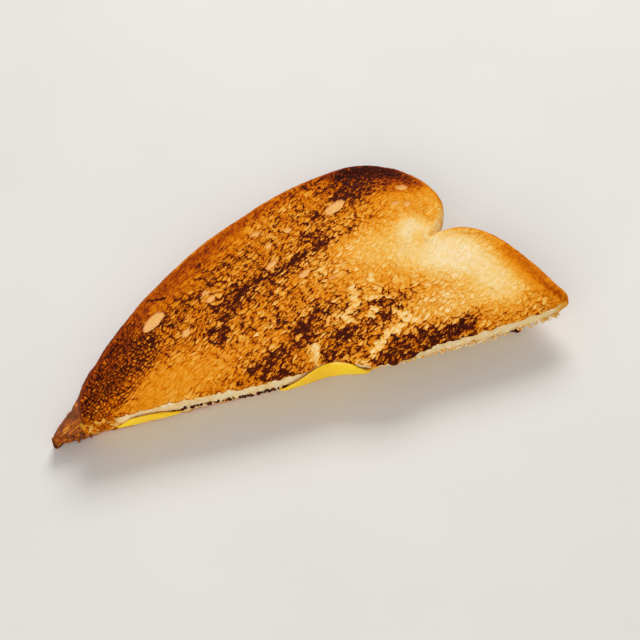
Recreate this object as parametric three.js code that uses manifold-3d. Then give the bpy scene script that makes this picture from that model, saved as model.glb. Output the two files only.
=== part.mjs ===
// One half of a grilled cheese sandwich: two slices of muffin-topped loaf with melted cheese between them,
// fried on both sides and cut slantwise from one shoulder of the loaf to the foot of the other side.
// Millimetres, +Z up. The cut runs along X and faces -Y, and the half lies on its lower toasted face.
import * as THREE from "three";
import { ParametricGeometry } from "three/addons/geometries/ParametricGeometry.js";
import { mergeVertices } from "three/addons/utils/BufferGeometryUtils.js";
import Module from "manifold-3d";

// Driving dimensions.
const CUT_LENGTH = 153; // of the toasted face, tip to tip along the cut
const SLICE_THICK = 7.7; // a slice after it was pressed in the pan
const CHEESE_THICK = 2.8; // the melted layer between the slices
const CLEARANCE = 0.3; // kept between touching pieces
const LOWER_SHIFT = [-11, -6.5]; // how far the lower slice slid from the upper one before the cut
const UPPER_LEAN = 0.12; // how far the cut leans back for each millimetre downwards, in slice and cheese
const LOWER_LEAN = 0.4; // the same in the lower slice, whose foot slid back under the knife
const EDGE_PRESS = 2.0; // how far the knife pressed the top edge down
const PRESS_REACH = 5; // how far in from the cut that dip fades
const CROWN = 0.5; // rise of the toasted face towards its middle
const CRUST_FLARE = 1; // how far the crust swells out beyond the outline of the toasted face
const CRUST_ROUND = 3.6; // width of the rounded crust edge
const CRUST_POWER = 2.5; // 2 is a round crust edge, more is squarer
const TIP_ROUND = 3; // length over which the tips round off
const LOWER_CUT_Y = 3.0; // the lower slice's cut edge stays this far behind the tips' line
const FOOT_TRIM = 0.35; // what the flat resting face takes off the lower slice's underside
const CHEESE_INSET = 4; // the cheese stops this far inside the crust
const CHEESE_TIP_Y = 3; // where the ends of the cheese reach the cut
const LIP_THICK = 0.9; // cheese that ran up over the crumb of the cut
const LIP_CLEARANCE = 0.5; // behind that lip, whose facets don't run along the slice's
const LIP_REST = 0.05; // its height where the cheese stays level
const LIP_FULL = 0.7; // from this height on it stands fully in front of the crumb
const LEVEL_AHEAD = 0.3; // how far the cheese stands before the crumb where it has no lip
const TIP_FADE = 5; // length over which the cut edge's bow fades out towards each tip
const CROWN_LENGTH = 40; // the crown has its full height where the slice is at least this deep
const BEND = 10; // the fan's lines turn towards the crust over this length,
const BEND_SHARE = 0.35; // or this share of a shorter line
const ROUND_SHARE = 0.4; // the crust's rounding takes no more than this share of a line,
const LIP_SHARE = 0.3; // and the cheese's lip no more than this

const UPPER_FLOOR = SLICE_THICK + CHEESE_THICK + 2 * CLEARANCE - FOOT_TRIM;
const CHEESE_FLOOR = SLICE_THICK + CLEARANCE - FOOT_TRIM;
const EDGE_HEIGHT = SLICE_THICK - EDGE_PRESS; // of the upper slice at its cut

// What changes along the cut: how much, and between which places from the left tip.
const BOW_START = 1.1; // the knife's line stands this far ahead of the tips' line at the left
const BOW_CHANGES = [
  { by: 1.3, rise: [30, 55] },
  { by: 1.6, rise: [70, 92] },
  { by: -1.5, rise: [120, 150] },
];
const BOW_GAP = { by: 1.3, middle: 76.5, reach: 8 }; // the bow is shallower behind the torn bay
const TORN_BAY = { by: 1.15, middle: 76.5, reach: 5.5 };
const TORN_FLAP = { by: 3.5, middle: 95, reach: 11 };
const LEFT_LIP = { by: 1.7, rise: [8.5, 12.5], fall: [13, 30] };
const BAY_LIP = { by: 5.4, rise: [60, 69], fall: [81, 86] }; // up to the toasted face
const LEFT_RECESS = { by: 2.5, rise: [-5, -4], fall: [3.5, 8] };
const MIDDLE_RECESS = { by: 3.4, rise: [28, 40], fall: [52, 58] };
const RIGHT_RECESS = { by: 3.4, rise: [86, 93] };

// How finely each surface is stepped: along the cut, and round the section.
const STEPS = { slice: 84, cheese: 72 };
const SLICE_TURN = { top: 7, crust: 8, under: 4, cut: 3 };
const CHEESE_TURN = { top: 4, edge: 3, under: 4, front: 4, lip: 1, back: 2 };
const TIP_CROWDING = 0.6; // 0 spaces the steps evenly along the crust, 1 crowds them at the tips

const total = (counts) => Object.values(counts).reduce((sum, n) => sum + n, 0);
const smooth = (from, to, x) => THREE.MathUtils.smoothstep(x, from, to);
const hill = (x, { by, middle, reach }) => by * Math.exp(-(((x - middle) / reach) ** 2));
const risen = (x, { by, rise, fall }) => by * smooth(...rise, x) * (fall ? 1 - smooth(...fall, x) : 1);

// The slice's crust line above the cut: blunt shoulder, long side, crown, round lobe, notch, body's side.
const crustLine = new THREE.Path();
crustLine.moveTo(0, 0);
crustLine.bezierCurveTo(-1.5, 5, -1, 11.5, 7, 19);
crustLine.bezierCurveTo(17, 32.5, 35, 50, 60, 62);
crustLine.bezierCurveTo(73, 68.5, 88, 75, 104, 74.6);
crustLine.bezierCurveTo(120, 74, 129, 59, 128.6, 52);
crustLine.bezierCurveTo(128, 45, 124, 41, 120.5, 37);
crustLine.bezierCurveTo(130, 41, 138, 36, 143, 27);
crustLine.bezierCurveTo(147.5, 19, 151, 9, CUT_LENGTH, 0);
const CRUST_LENGTH = crustLine.getLength();
const NORMAL_REACH = 3; // the outward direction is taken between points this far before and behind
const FOOT_SHARE = 0.15; // the share of the line at either end in which it only rises
const HALVINGS = 40; // of that share, until the height is met

function crustNormal(s) {
  const span = NORMAL_REACH / CRUST_LENGTH;
  const ahead = crustLine.getPoint(Math.min(1, s + span));
  const behind = crustLine.getPoint(Math.max(0, s - span));
  const run = ahead.sub(behind).normalize();
  return new THREE.Vector2(-run.y, run.x);
}

// How far along the crust line, counted from one of its ends, it reaches a given height above the cut.
function crustShare(height, fromRight) {
  let low = 0;
  let high = FOOT_SHARE;
  for (let i = 0; i < HALVINGS; i++) {
    const middle = (low + high) / 2;
    const point = crustLine.getPoint(fromRight ? 1 - middle : middle);
    if (point.y < height) low = middle;
    else high = middle;
  }
  return (low + high) / 2;
}

const tipFade = (x) => 1 - Math.exp(-Math.max(0, Math.min(x, CUT_LENGTH - x)) / TIP_FADE);

// The knife's line through crumb and cheese: a shallow bow towards -Y that deepens to the right.
function knifeBow(x) {
  const bow = BOW_CHANGES.reduce((sum, change) => sum + risen(x, change), BOW_START);
  return -tipFade(x) * (bow - hill(x, BOW_GAP));
}

// How the toasted edge strays from that line: back in a torn bay, and out in the flap beside it.
function tear(x) {
  return tipFade(x) * (hill(x, TORN_BAY) - hill(x, TORN_FLAP));
}

// Height of the cheese that stands in front of the upper slice's crumb: on the left, and in the bay.
function lipHeight(x) {
  return Math.max(LIP_REST, risen(x, LEFT_LIP), risen(x, BAY_LIP));
}

// How far the cheese draws back under the slice, everywhere but at the two places where it shows.
const cheeseRecess = (x) => risen(x, LEFT_RECESS) + risen(x, MIDDLE_RECESS) + risen(x, RIGHT_RECESS);

// The cheese's front where it meets the upper slice's underside: ahead of the crumb where it has a lip.
function cheeseBow(x) {
  const lipped = smooth(LIP_REST, LIP_FULL, lipHeight(x));
  const ahead = THREE.MathUtils.lerp(LEVEL_AHEAD, LIP_THICK + LIP_CLEARANCE, lipped);
  return knifeBow(x) - ahead - CHEESE_TIP_Y + cheeseRecess(x);
}

// A piece's plan: a fan of lines from its cut edge to its crust line, each meeting the crust head on.
function fan({ shift, inset, cutY, bow }) {
  const first = crustShare(cutY - shift[1], false);
  const last = 1 - crustShare(cutY - shift[1], true);
  const rim = (s) => {
    const share = THREE.MathUtils.lerp(first, last, s);
    const normal = crustNormal(share);
    const point = crustLine.getPoint(share).addScaledVector(normal, -inset);
    return { point: point.add(new THREE.Vector2(...shift)), normal };
  };
  const left = rim(0).point;
  const right = rim(1).point;
  return (s) => {
    const { point, normal } = rim(s);
    const cut = left.clone().lerp(right, s * s);
    const length = point.distanceTo(cut);
    cut.y += bow(cut.x) * Math.min(1, length / TIP_ROUND);
    return { rim: point, normal, cut, length };
  };
}

// A point on a line of the fan, t = 0 on the cut and 1 at the start of the crust's rounding, evenly spaced.
function along(line, cut, t, round) {
  const end = line.rim.clone().addScaledVector(line.normal, -round);
  const bend = Math.min(BEND, BEND_SHARE * line.length);
  const knee = end.clone().addScaledVector(line.normal, -bend);
  const a = knee.distanceTo(cut);
  const b = knee.distanceTo(end);
  const k = a + b === 0 ? 0 : ((a + b) * t) / (a + Math.sqrt(a * a - (a * a - b * b) * t) || 1);
  return new THREE.QuadraticBezierCurve(cut, knee, end).getPoint(k);
}

// Every piece's tips are rounded down to a point at half height.
function tipScale(length) {
  const near = Math.min(1, length / TIP_ROUND);
  return Math.sqrt(1 - (1 - near) ** 2);
}

// The rounded side, turn = 0 at its top and 1 at its bottom, as a superellipse.
function crustSide(line, round, low, high, turn) {
  const angle = Math.PI * (0.5 - turn);
  const out = Math.abs(Math.cos(angle)) ** (2 / CRUST_POWER);
  const up = Math.sign(Math.sin(angle)) * Math.abs(Math.sin(angle)) ** (2 / CRUST_POWER);
  const place = line.rim.clone().addScaledVector(line.normal, round * (out - 1));
  return [place.x, place.y, (low + high) / 2 + ((high - low) / 2) * up];
}

// A slice's surface. Round the section: toasted face, crust, underside, cut.
function sliceSurface({ plan, floor, press, crown, lean, stray }) {
  const parts = SLICE_TURN;
  return (around, s, target) => {
    const line = plan(s);
    const scale = tipScale(line.length);
    const middle = floor + SLICE_THICK / 2;
    const low = middle - (SLICE_THICK / 2) * scale;
    const high = middle + (SLICE_THICK / 2) * scale;
    const round = Math.min(CRUST_ROUND, ROUND_SHARE * line.length);
    const heel = line.cut.clone();
    heel.y += lean * (high - low) - stray(heel.x) * Math.min(1, line.length / TIP_ROUND);
    const topAt = (t) => {
      const dip = press * scale * Math.exp((-t * line.length) / PRESS_REACH);
      return high - dip + crown * scale * Math.sin(Math.PI * t) * Math.min(1, line.length / CROWN_LENGTH);
    };
    let step = around * total(parts);
    if (step <= parts.top) {
      const t = step / parts.top;
      const p = along(line, line.cut, t, round);
      return target.set(p.x, p.y, topAt(t));
    }
    step -= parts.top;
    if (step <= parts.crust) {
      return target.set(...crustSide(line, round, low, high, step / parts.crust));
    }
    step -= parts.crust;
    if (step <= parts.under) {
      const p = along(line, heel, 1 - step / parts.under, round);
      return target.set(p.x, p.y, low);
    }
    step = (step - parts.under) / parts.cut;
    const p = heel.lerp(line.cut, step);
    return target.set(p.x, p.y, THREE.MathUtils.lerp(low, topAt(0), step));
  };
}

// The cheese's surface. Round the section: top, outer edge, underside, front, lip and the lip's back.
function cheeseSurface({ plan, floor }) {
  const parts = CHEESE_TURN;
  return (around, s, target) => {
    const line = plan(s);
    const scale = tipScale(line.length);
    const middle = floor + CHEESE_THICK / 2;
    const low = middle - (CHEESE_THICK / 2) * scale;
    const high = middle + (CHEESE_THICK / 2) * scale;
    const round = Math.min(CHEESE_THICK / 2, ROUND_SHARE * line.length);
    const lip = lipHeight(line.cut.x) * scale;
    const thick = Math.min(LIP_THICK, LIP_SHARE * line.length);
    const leaned = (z, back) => {
      const up = THREE.MathUtils.clamp((z - UPPER_FLOOR) / EDGE_HEIGHT, 0, 1);
      const down = THREE.MathUtils.clamp((UPPER_FLOOR - z) / (UPPER_FLOOR - CHEESE_FLOOR), 0, 1);
      const y = line.cut.y + UPPER_LEAN * (UPPER_FLOOR + EDGE_HEIGHT - z) * scale + tear(line.cut.x) * up;
      const foot = cheeseRecess(line.cut.x) + Math.max(0, CHEESE_TIP_Y - line.length);
      return new THREE.Vector2(line.cut.x, THREE.MathUtils.lerp(y, Math.max(y, foot), down) + back);
    };
    let step = around * total(parts);
    if (step <= parts.top) {
      const p = along(line, leaned(high, thick), step / parts.top, round);
      return target.set(p.x, p.y, high);
    }
    step -= parts.top;
    if (step <= parts.edge) {
      return target.set(...crustSide(line, round, low, high, step / parts.edge));
    }
    step -= parts.edge;
    if (step <= parts.under) {
      const p = along(line, leaned(low, 0), 1 - step / parts.under, round);
      return target.set(p.x, p.y, low);
    }
    step -= parts.under;
    if (step <= parts.front) {
      const z = THREE.MathUtils.lerp(low, high + lip, step / parts.front);
      const p = leaned(z, 0);
      return target.set(p.x, p.y, z);
    }
    step -= parts.front;
    if (step <= parts.lip) {
      const p = leaned(high + lip, thick * step);
      return target.set(p.x, p.y, high + lip);
    }
    step = (step - parts.lip) / parts.back;
    const z = THREE.MathUtils.lerp(high + lip, high, step);
    const p = leaned(z, thick);
    return target.set(p.x, p.y, z);
  };
}

const wasm = await Module();
wasm.setup();

function solidOf(geometry) {
  const bare = geometry.clone();
  bare.deleteAttribute("normal");
  bare.deleteAttribute("uv");
  const merged = mergeVertices(bare, 1e-3);
  const mesh = new wasm.Mesh({
    numProp: 3,
    vertProperties: merged.attributes.position.array,
    triVerts: new Uint32Array(merged.index.array),
  });
  return new wasm.Manifold(mesh);
}

function geometryOf(solid) {
  const { vertProperties, triVerts } = solid.getMesh();
  const geometry = new THREE.BufferGeometry();
  geometry.setAttribute("position", new THREE.BufferAttribute(vertProperties, 3));
  geometry.setIndex(new THREE.BufferAttribute(triVerts, 1));
  geometry.computeVertexNormals();
  return geometry;
}

// The section is walked backwards, which turns the faces outwards, and the steps crowd at the tips.
function surfaceSolid(surface, turn, steps) {
  const outward = (around, v, target) => {
    const s = v - (TIP_CROWDING * Math.sin(2 * Math.PI * v)) / (2 * Math.PI);
    return surface(1 - around, s, target);
  };
  return solidOf(new ParametricGeometry(outward, total(turn), steps));
}

function makeUpperSlice() {
  const plan = fan({ shift: [0, 0], inset: -CRUST_FLARE, cutY: 0, bow: (x) => knifeBow(x) + tear(x) });
  const edge = { press: EDGE_PRESS, crown: CROWN, lean: UPPER_LEAN, stray: tear };
  const surface = sliceSurface({ plan, floor: UPPER_FLOOR, ...edge });
  return surfaceSolid(surface, SLICE_TURN, STEPS.slice);
}

function makeLowerSlice() {
  const plan = fan({ shift: LOWER_SHIFT, inset: -CRUST_FLARE, cutY: LOWER_CUT_Y, bow: () => 0 });
  const edge = { press: 0, crown: 0, lean: LOWER_LEAN, stray: () => 0 };
  const surface = sliceSurface({ plan, floor: -FOOT_TRIM, ...edge });
  const below = new THREE.BoxGeometry(4 * CUT_LENGTH, 4 * CUT_LENGTH, SLICE_THICK);
  below.translate(0, 0, -SLICE_THICK / 2);
  return surfaceSolid(surface, SLICE_TURN, STEPS.slice).subtract(solidOf(below));
}

function makeCheese() {
  const shift = LOWER_SHIFT.map((d) => d / 2);
  const plan = fan({ shift, inset: CHEESE_INSET, cutY: CHEESE_TIP_Y, bow: cheeseBow });
  return surfaceSolid(cheeseSurface({ plan, floor: CHEESE_FLOOR }), CHEESE_TURN, STEPS.cheese);
}

const toast = new THREE.MeshStandardMaterial({ color: "#c4701a", roughness: 0.75, metalness: 0 });
const underToast = new THREE.MeshStandardMaterial({ color: "#a5621c", roughness: 0.8, metalness: 0 });
const meltedCheese = new THREE.MeshStandardMaterial({ color: "#f5bf0c", roughness: 0.35, metalness: 0 });

const sandwich = new THREE.Group();
for (const [name, solid, material] of [
  ["upper_slice", makeUpperSlice(), toast],
  ["cheese", makeCheese(), meltedCheese],
  ["lower_slice", makeLowerSlice(), underToast],
]) {
  const mesh = new THREE.Mesh(geometryOf(solid), material);
  mesh.name = name;
  sandwich.add(mesh);
}

// The origin is the middle of the whole half in plan, at the height of its resting face.
const bounds = new THREE.Box3().setFromObject(sandwich);
const middle = bounds.getCenter(new THREE.Vector3());
sandwich.position.set(-middle.x, -middle.y, -bounds.min.z);

export default sandwich;
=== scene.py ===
# %% [markdown]
# # Half a grilled cheese sandwich
# Two slices of a muffin-topped white loaf with melted cheese between them, fried in butter on both sides and
# cut slantwise. The measured model gives every place and size; this lesson gives it its looks. Each layer
# could be sculpted by hand, but the fried face is a pattern with rules: large soft scorch marks, long pores
# that stay pale because they don't touch the pan, and fine speckle. Rules are easier to write than to sculpt,
# so every layer is a surface worked out with numpy.

# %% Load the measured model
import math

import bpy
import numpy as np
from mathutils import Matrix, Vector


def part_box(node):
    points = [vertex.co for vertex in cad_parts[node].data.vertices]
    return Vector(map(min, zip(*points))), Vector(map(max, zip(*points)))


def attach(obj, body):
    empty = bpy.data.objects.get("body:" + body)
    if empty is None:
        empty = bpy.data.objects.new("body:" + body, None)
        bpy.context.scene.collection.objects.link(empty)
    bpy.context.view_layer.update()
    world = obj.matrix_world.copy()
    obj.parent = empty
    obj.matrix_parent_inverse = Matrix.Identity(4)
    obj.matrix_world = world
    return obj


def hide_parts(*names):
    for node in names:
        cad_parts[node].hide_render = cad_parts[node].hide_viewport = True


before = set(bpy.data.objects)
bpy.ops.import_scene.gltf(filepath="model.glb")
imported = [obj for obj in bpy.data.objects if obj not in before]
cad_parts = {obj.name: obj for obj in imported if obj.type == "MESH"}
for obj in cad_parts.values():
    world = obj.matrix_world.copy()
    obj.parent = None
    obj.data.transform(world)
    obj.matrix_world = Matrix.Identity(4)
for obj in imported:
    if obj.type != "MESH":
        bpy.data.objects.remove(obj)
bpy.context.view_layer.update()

MM = 0.001
print("nodes:", sorted(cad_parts))

# %% [markdown]
# ## The loaf's outline
# The slice's crust line runs from one end of the cut round the long side, the crown, the round lobe, the
# notch under it and the body's side to the other end. It could be a drawn curve object; here it is seven
# cubic curves in the cut's own frame, in millimetres, with x along the cut, because every layer needs points
# and directions on it.

# %% The crust line
CUT_LENGTH = 153.0
CRUST_CURVES = [
    [(0, 0), (-1.5, 5), (-1, 11.5), (7, 19)],
    [(7, 19), (17, 32.5), (35, 50), (60, 62)],
    [(60, 62), (73, 68.5), (88, 75), (104, 74.6)],
    [(104, 74.6), (120, 74), (129, 59), (128.6, 52)],
    [(128.6, 52), (128, 45), (124, 41), (120.5, 37)],
    [(120.5, 37), (130, 41), (138, 36), (143, 27)],
    [(143, 27), (147.5, 19), (151, 9), (CUT_LENGTH, 0)],
]


def cubic(corners, t):
    """A cubic curve: its four corners blended by (1-t)^3, 3t(1-t)^2, 3t^2(1-t) and t^3."""
    a, b, c, d = np.array(corners, float)
    t = t[:, None]
    return a * (1 - t) ** 3 + 3 * b * t * (1 - t) ** 2 + 3 * c * t**2 * (1 - t) + d * t**3


CURVE_STEPS = 300
curve_shares = np.linspace(0, 1, CURVE_STEPS, endpoint=False)
TRACE = np.concatenate([cubic(corners, curve_shares) for corners in CRUST_CURVES] + [[(CUT_LENGTH, 0)]])
TRACE_RUN = np.concatenate([[0], np.cumsum(np.hypot(*np.diff(TRACE, axis=0).T))])
CRUST_LENGTH = TRACE_RUN[-1]
print(f"crust line {CRUST_LENGTH:.1f} mm")

# %% Points and directions on the crust line
NORMAL_SPAN = 3.0
END_SHARE = 0.15
END_STEPS = 600


def crust_point(share):
    """The place a share of the way along the crust line."""
    run = np.clip(share, 0, 1) * CRUST_LENGTH
    return np.stack([np.interp(run, TRACE_RUN, TRACE[:, 0]), np.interp(run, TRACE_RUN, TRACE[:, 1])], -1)


def crust_normal(share):
    """The way out of the slice: left of the line between points a few millimetres before and after."""
    step = NORMAL_SPAN / CRUST_LENGTH
    run = crust_point(share + step) - crust_point(share - step)
    run /= np.hypot(run[:, :1], run[:, 1:])
    return np.stack([-run[:, 1], run[:, 0]], -1)


def crust_share(height, from_right):
    """How far along the line, from either end, it reaches a height above the cut."""
    shares = np.linspace(0, END_SHARE, END_STEPS)
    heights = crust_point(1 - shares if from_right else shares)[:, 1]
    return float(np.interp(height, heights, shares))


print("the crown is", crust_point(np.linspace(0, 1, 400))[:, 1].max().round(1), "mm from the cut")


# %% [markdown]
# ## The cut edge
# The knife went straight, but the soft bread bowed out, more on the right, and tore open in a bay where
# cheese ran up. A smooth step and a hill are enough to say so.

# %% Steps and hills
def smooth(start, stop, x):
    """0 before start, 1 after stop, and 3t^2 - 2t^3 of the share t between."""
    t = np.clip((x - start) / (stop - start), 0, 1)
    return t * t * (3 - 2 * t)


def hill(x, middle, reach):
    """A bell: e to the power of minus the squared distance in reaches."""
    return np.exp(-(((x - middle) / reach) ** 2))


# %% The bow of the cut
TIP_SOFTNESS = 5.0
BOW_START = 1.1
BOW_CHANGES = [
    # deeper by, over this stretch of the cut
    (1.3, 30, 55),
    (1.6, 70, 92),
    (-1.5, 120, 150),
]
BAY_MIDDLE = 76.5
BOW_GAP, GAP_REACH = 1.3, 8
TORN_BAY, BAY_REACH = 1.15, 5.5
TORN_FLAP, FLAP_MIDDLE, FLAP_REACH = 3.5, 95, 11


def tip_fade(x):
    """0 at both ends of the cut, rising to 1 within a few millimetres as 1 - e^(-distance / softness)."""
    return 1 - np.exp(-np.clip(np.minimum(x, CUT_LENGTH - x), 0, None) / TIP_SOFTNESS)


def knife_bow(x):
    """The line through crumb and cheese: a bow that deepens to the right, but less behind the bay."""
    bow = BOW_START
    for deeper, start, stop in BOW_CHANGES:
        bow = bow + deeper * smooth(start, stop, x)
    return -tip_fade(x) * (bow - BOW_GAP * hill(x, BAY_MIDDLE, GAP_REACH))


def tear(x):
    """How the toasted edge strays from that line: back in the bay, and out in the flap beside it."""
    bay = TORN_BAY * hill(x, BAY_MIDDLE, BAY_REACH)
    return tip_fade(x) * (bay - TORN_FLAP * hill(x, FLAP_MIDDLE, FLAP_REACH))


quarters = CUT_LENGTH * np.array([0.25, 0.5, 0.75])
print("bow at the quarters", knife_bow(quarters).round(2), "mm")
print("toasted edge beside it", tear(quarters).round(2), "mm")


# %% [markdown]
# ## A fan of lines
# Each layer's plan is a fan of lines from its cut edge to its crust line. Carrying a section along the fan
# makes one closed surface of two parameters, with no seams to hide between face, side and cut.

# %% The fan
TIP_ROUND = 3.0
CRUST_FLARE = 1.0
BEND_REACH = 10.0
BEND_SHARE = 0.35


def fan(s, shift, inset, cut_y, bow):
    """For each s from 0 to 1: a rim point on the crust line, its way out, the cut point, which is s squared
    of the way along the cut, and the distance between the two points."""
    first = crust_share(cut_y - shift[1], False)
    last = 1 - crust_share(cut_y - shift[1], True)
    share = first + (last - first) * s
    normal = crust_normal(share)
    rim = crust_point(share) - inset * normal + np.array(shift)
    cut = rim[:1] + (rim[-1:] - rim[:1]) * (s**2)[:, None]
    length = np.hypot(*(rim - cut).T)
    cut[:, 1] += bow(cut[:, 0]) * np.clip(length / TIP_ROUND, 0, 1)
    return {"rim": rim, "normal": normal, "cut": cut, "length": length}


def along(line, cut, t, round_off):
    """Points evenly spaced on a parabola from the cut to the crust's rounding, which it meets head on:
    cut (1-k)^2 + 2 knee k(1-k) + end k^2, with k taken from t so that the steps are even."""
    end = line["rim"] - line["normal"] * round_off[:, None]
    bend = np.minimum(BEND_REACH, BEND_SHARE * line["length"])
    knee = end - line["normal"] * bend[:, None]
    a = np.hypot(*(knee - cut).T)[:, None]
    b = np.hypot(*(knee - end).T)[:, None]
    root = a + np.sqrt(np.clip(a * a - (a * a - b * b) * t, 0, None))
    k = ((a + b) * t / np.where(root > 0, root, 1))[..., None]
    return cut[:, None] * (1 - k) ** 2 + 2 * knee[:, None] * k * (1 - k) + end[:, None] * k**2


def tip_scale(length):
    """A quarter circle: the tips round down to a point."""
    near = np.clip(length / TIP_ROUND, 0, 1)
    return np.sqrt(1 - (1 - near) ** 2)


# %% [markdown]
# ## The slice's section
# Round the section: fried face, rounded crust, underside, cut. The rows are close together on the face,
# where the pores show, and wide apart where nothing does.

# %% The slice's surface
SLICE_THICK = 7.7
RELIEF_FADE = 6.0
CRUST_ROUND = 3.6
CRUST_POWER = 2.5
ROUND_SHARE = 0.4
CROWN_FULL = 40.0
UPPER_LEAN = 0.12
LOWER_LEAN = 0.4
EDGE_PRESS = 2.0
PRESS_REACH = 5.0


def crust_side(line, round_off, low, high, turn):
    """A superellipse from the top, turn 0, out and round to the bottom, turn 1: the cosine and the sine of
    the angle, each to the power of 2 / CRUST_POWER."""
    angle = np.pi * (0.5 - turn)
    out = np.abs(np.cos(angle)) ** (2 / CRUST_POWER)
    up = np.sign(np.sin(angle)) * np.abs(np.sin(angle)) ** (2 / CRUST_POWER)
    place = line["rim"][:, None] + line["normal"][:, None] * (round_off[:, None] * (out - 1))[..., None]
    z = (low + high)[:, None] / 2 + (high - low)[:, None] / 2 * up
    return np.concatenate([place, z[..., None]], -1)


def with_height(place, z):
    """Adds a height to every point of a plan."""
    return np.concatenate([place, np.broadcast_to(z, place.shape[:2])[..., None]], -1)


def slice_surface(line, floor, press, crown, lean, stray, rows):
    """The four parts of the section, from the cut's top edge round and back to it. The face dips by press
    at the cut and swells by crown in its middle; the crumb leans, and its top edge strays from its foot."""
    length = line["length"]
    scale = tip_scale(length)
    middle = floor + SLICE_THICK / 2
    low = middle - SLICE_THICK / 2 * scale
    high = middle + SLICE_THICK / 2 * scale
    round_off = np.minimum(CRUST_ROUND, ROUND_SHARE * length)
    heel = line["cut"].copy()
    heel[:, 1] += lean * (high - low) - stray(heel[:, 0]) * np.clip(length / TIP_ROUND, 0, 1)

    def top_at(t):
        """The face's height at a share t of the way from the cut to the crust."""
        dip = press * scale[:, None] * np.exp(-t * length[:, None] / PRESS_REACH)
        rise = crown * scale[:, None] * np.sin(np.pi * t) * np.clip(length[:, None] / CROWN_FULL, 0, 1)
        return high[:, None] - dip + rise

    t = np.linspace(0, 1, rows["top"], endpoint=False)
    face = with_height(along(line, line["cut"], t, round_off), top_at(t))
    side = crust_side(line, round_off, low, high, np.linspace(0, 1, rows["crust"], endpoint=False))
    t_under = np.linspace(1, 0, rows["under"], endpoint=False)
    under = with_height(along(line, heel, t_under, round_off), low[:, None])
    k = np.linspace(0, 1, rows["cut"], endpoint=False)
    edge = top_at(np.zeros(1))
    foot = heel[:, None] * (1 - k)[:, None] + line["cut"][:, None] * k[:, None]
    crumb = with_height(foot, low[:, None] * (1 - k) + edge * k)
    return np.concatenate([face, side, under, crumb], 1)


# %% [markdown]
# ## From grid to mesh
# The grid's rows close into a loop and its first and last columns are single points, so the mesh is closed.
# Relief moves each point along its own way out, which comes from its neighbours on the grid.

# %% Mesh from a grid
def ways_out(grid):
    """The cross product of the steps round the section and along the fan, made one unit long."""
    round_step = np.roll(grid, -1, 1) - np.roll(grid, 1, 1)
    along_step = np.gradient(grid, axis=0)
    out = np.cross(round_step, along_step)
    return out / np.maximum(np.linalg.norm(out, axis=-1, keepdims=True), 1e-9)


def ends_as_points(values):
    """The grid's values in one row: one for the first column, all of those between, one for the last."""
    between = values[1:-1].reshape((-1,) + values.shape[2:])
    return np.concatenate([values[:1, 0], between, values[-1:, 0]])


def volume_inside(mesh, points):
    """A sixth of the sum of each triangle's corner a times the cross product of its corners b and c."""
    mesh.calc_loop_triangles()
    numbers = np.empty(3 * len(mesh.loop_triangles), np.int32)
    mesh.loop_triangles.foreach_get("vertices", numbers)
    corners = points[numbers.reshape(-1, 3)]
    return np.einsum("ij,ij->", corners[:, 0], np.cross(corners[:, 1], corners[:, 2])) / 6


def finished_piece(name, mesh, values, material):
    """Smooth faces, one attribute for each value, a material, and an object at the origin."""
    mesh.polygons.foreach_set("use_smooth", np.ones(len(mesh.polygons), bool))
    for key, value in values.items():
        mesh.attributes.new(key, "FLOAT", "POINT").data.foreach_set("value", value.astype(np.float32))
    mesh.materials.append(material)
    piece = bpy.data.objects.new(name, mesh)
    bpy.context.collection.objects.link(piece)
    return piece


def closed_mesh(name, grid, place, values, material):
    """One closed piece: a point at each end of the grid, and four-cornered faces between its columns."""
    columns, rows = grid.shape[:2]
    points = (ends_as_points(grid) + place) * MM
    j = np.arange(rows)
    k = (j + 1) % rows
    start = 1 + np.arange(columns - 3)[:, None] * rows
    quads = np.stack([start + j, start + rows + j, start + rows + k, start + k], -1).reshape(-1, 4)
    end = 1 + (columns - 3) * rows
    first = np.stack([np.zeros_like(j), 1 + j, 1 + k], -1)
    last = np.stack([end + j, np.full_like(j, end + rows), end + k], -1)
    mesh = bpy.data.meshes.new(name)
    mesh.from_pydata(points.tolist(), [], quads.tolist() + first.tolist() + last.tolist())
    point_values = {key: ends_as_points(value) for key, value in values.items()}
    piece = finished_piece(name, mesh, point_values, material)
    volume = volume_inside(mesh, points) * 1e6
    print(f"{name}: {len(mesh.loop_triangles)} triangles, {volume:.1f} cubic cm inside")
    return piece


# %% [markdown]
# ## Chance that repeats
# Bread needs randomness that is the same each time. A whole-number hash gives each place its own number;
# blended between neighbours it makes soft noise, and as jittered points it makes cells: pores with walls.

# %% Noise
def chance(ix, iy, iz, seed):
    """A repeatable number from 0 to 1 for each whole-numbered place."""
    n = (ix * 374761393 + iy * 668265263 + iz * 1440662683 + seed * 974634777) & 0xFFFFFFFF
    n = ((n ^ (n >> 13)) * 1274126177) & 0xFFFFFFFF
    n = ((n ^ (n >> 16)) * 461845907) & 0xFFFFFFFF
    return ((n ^ (n >> 15)) & 0xFFFFFF) / 0xFFFFFF


def noise(x, y, z, size, seed):
    """Chance at the eight corners of a cube of that size, blended smoothly: 0 to 1."""
    base = [np.floor(v / size).astype(np.int64) for v in (x, y, z)]
    part = [v / size - b for v, b in zip((x, y, z), base)]
    part = [p * p * (3 - 2 * p) for p in part]
    total = 0
    for corner in range(8):
        step = [corner & 1, corner >> 1 & 1, corner >> 2]
        weight = math.prod(p if d else 1 - p for p, d in zip(part, step))
        total = total + weight * chance(base[0] + step[0], base[1] + step[1], base[2] + step[2], seed)
    return total


print("noise at three places", noise(np.array([0.0, 1.5, 9.0]), np.zeros(3), np.zeros(3), 4, 1).round(3))

# %% Cells, slants and marks
CELL_MARGIN = 0.1


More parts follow.
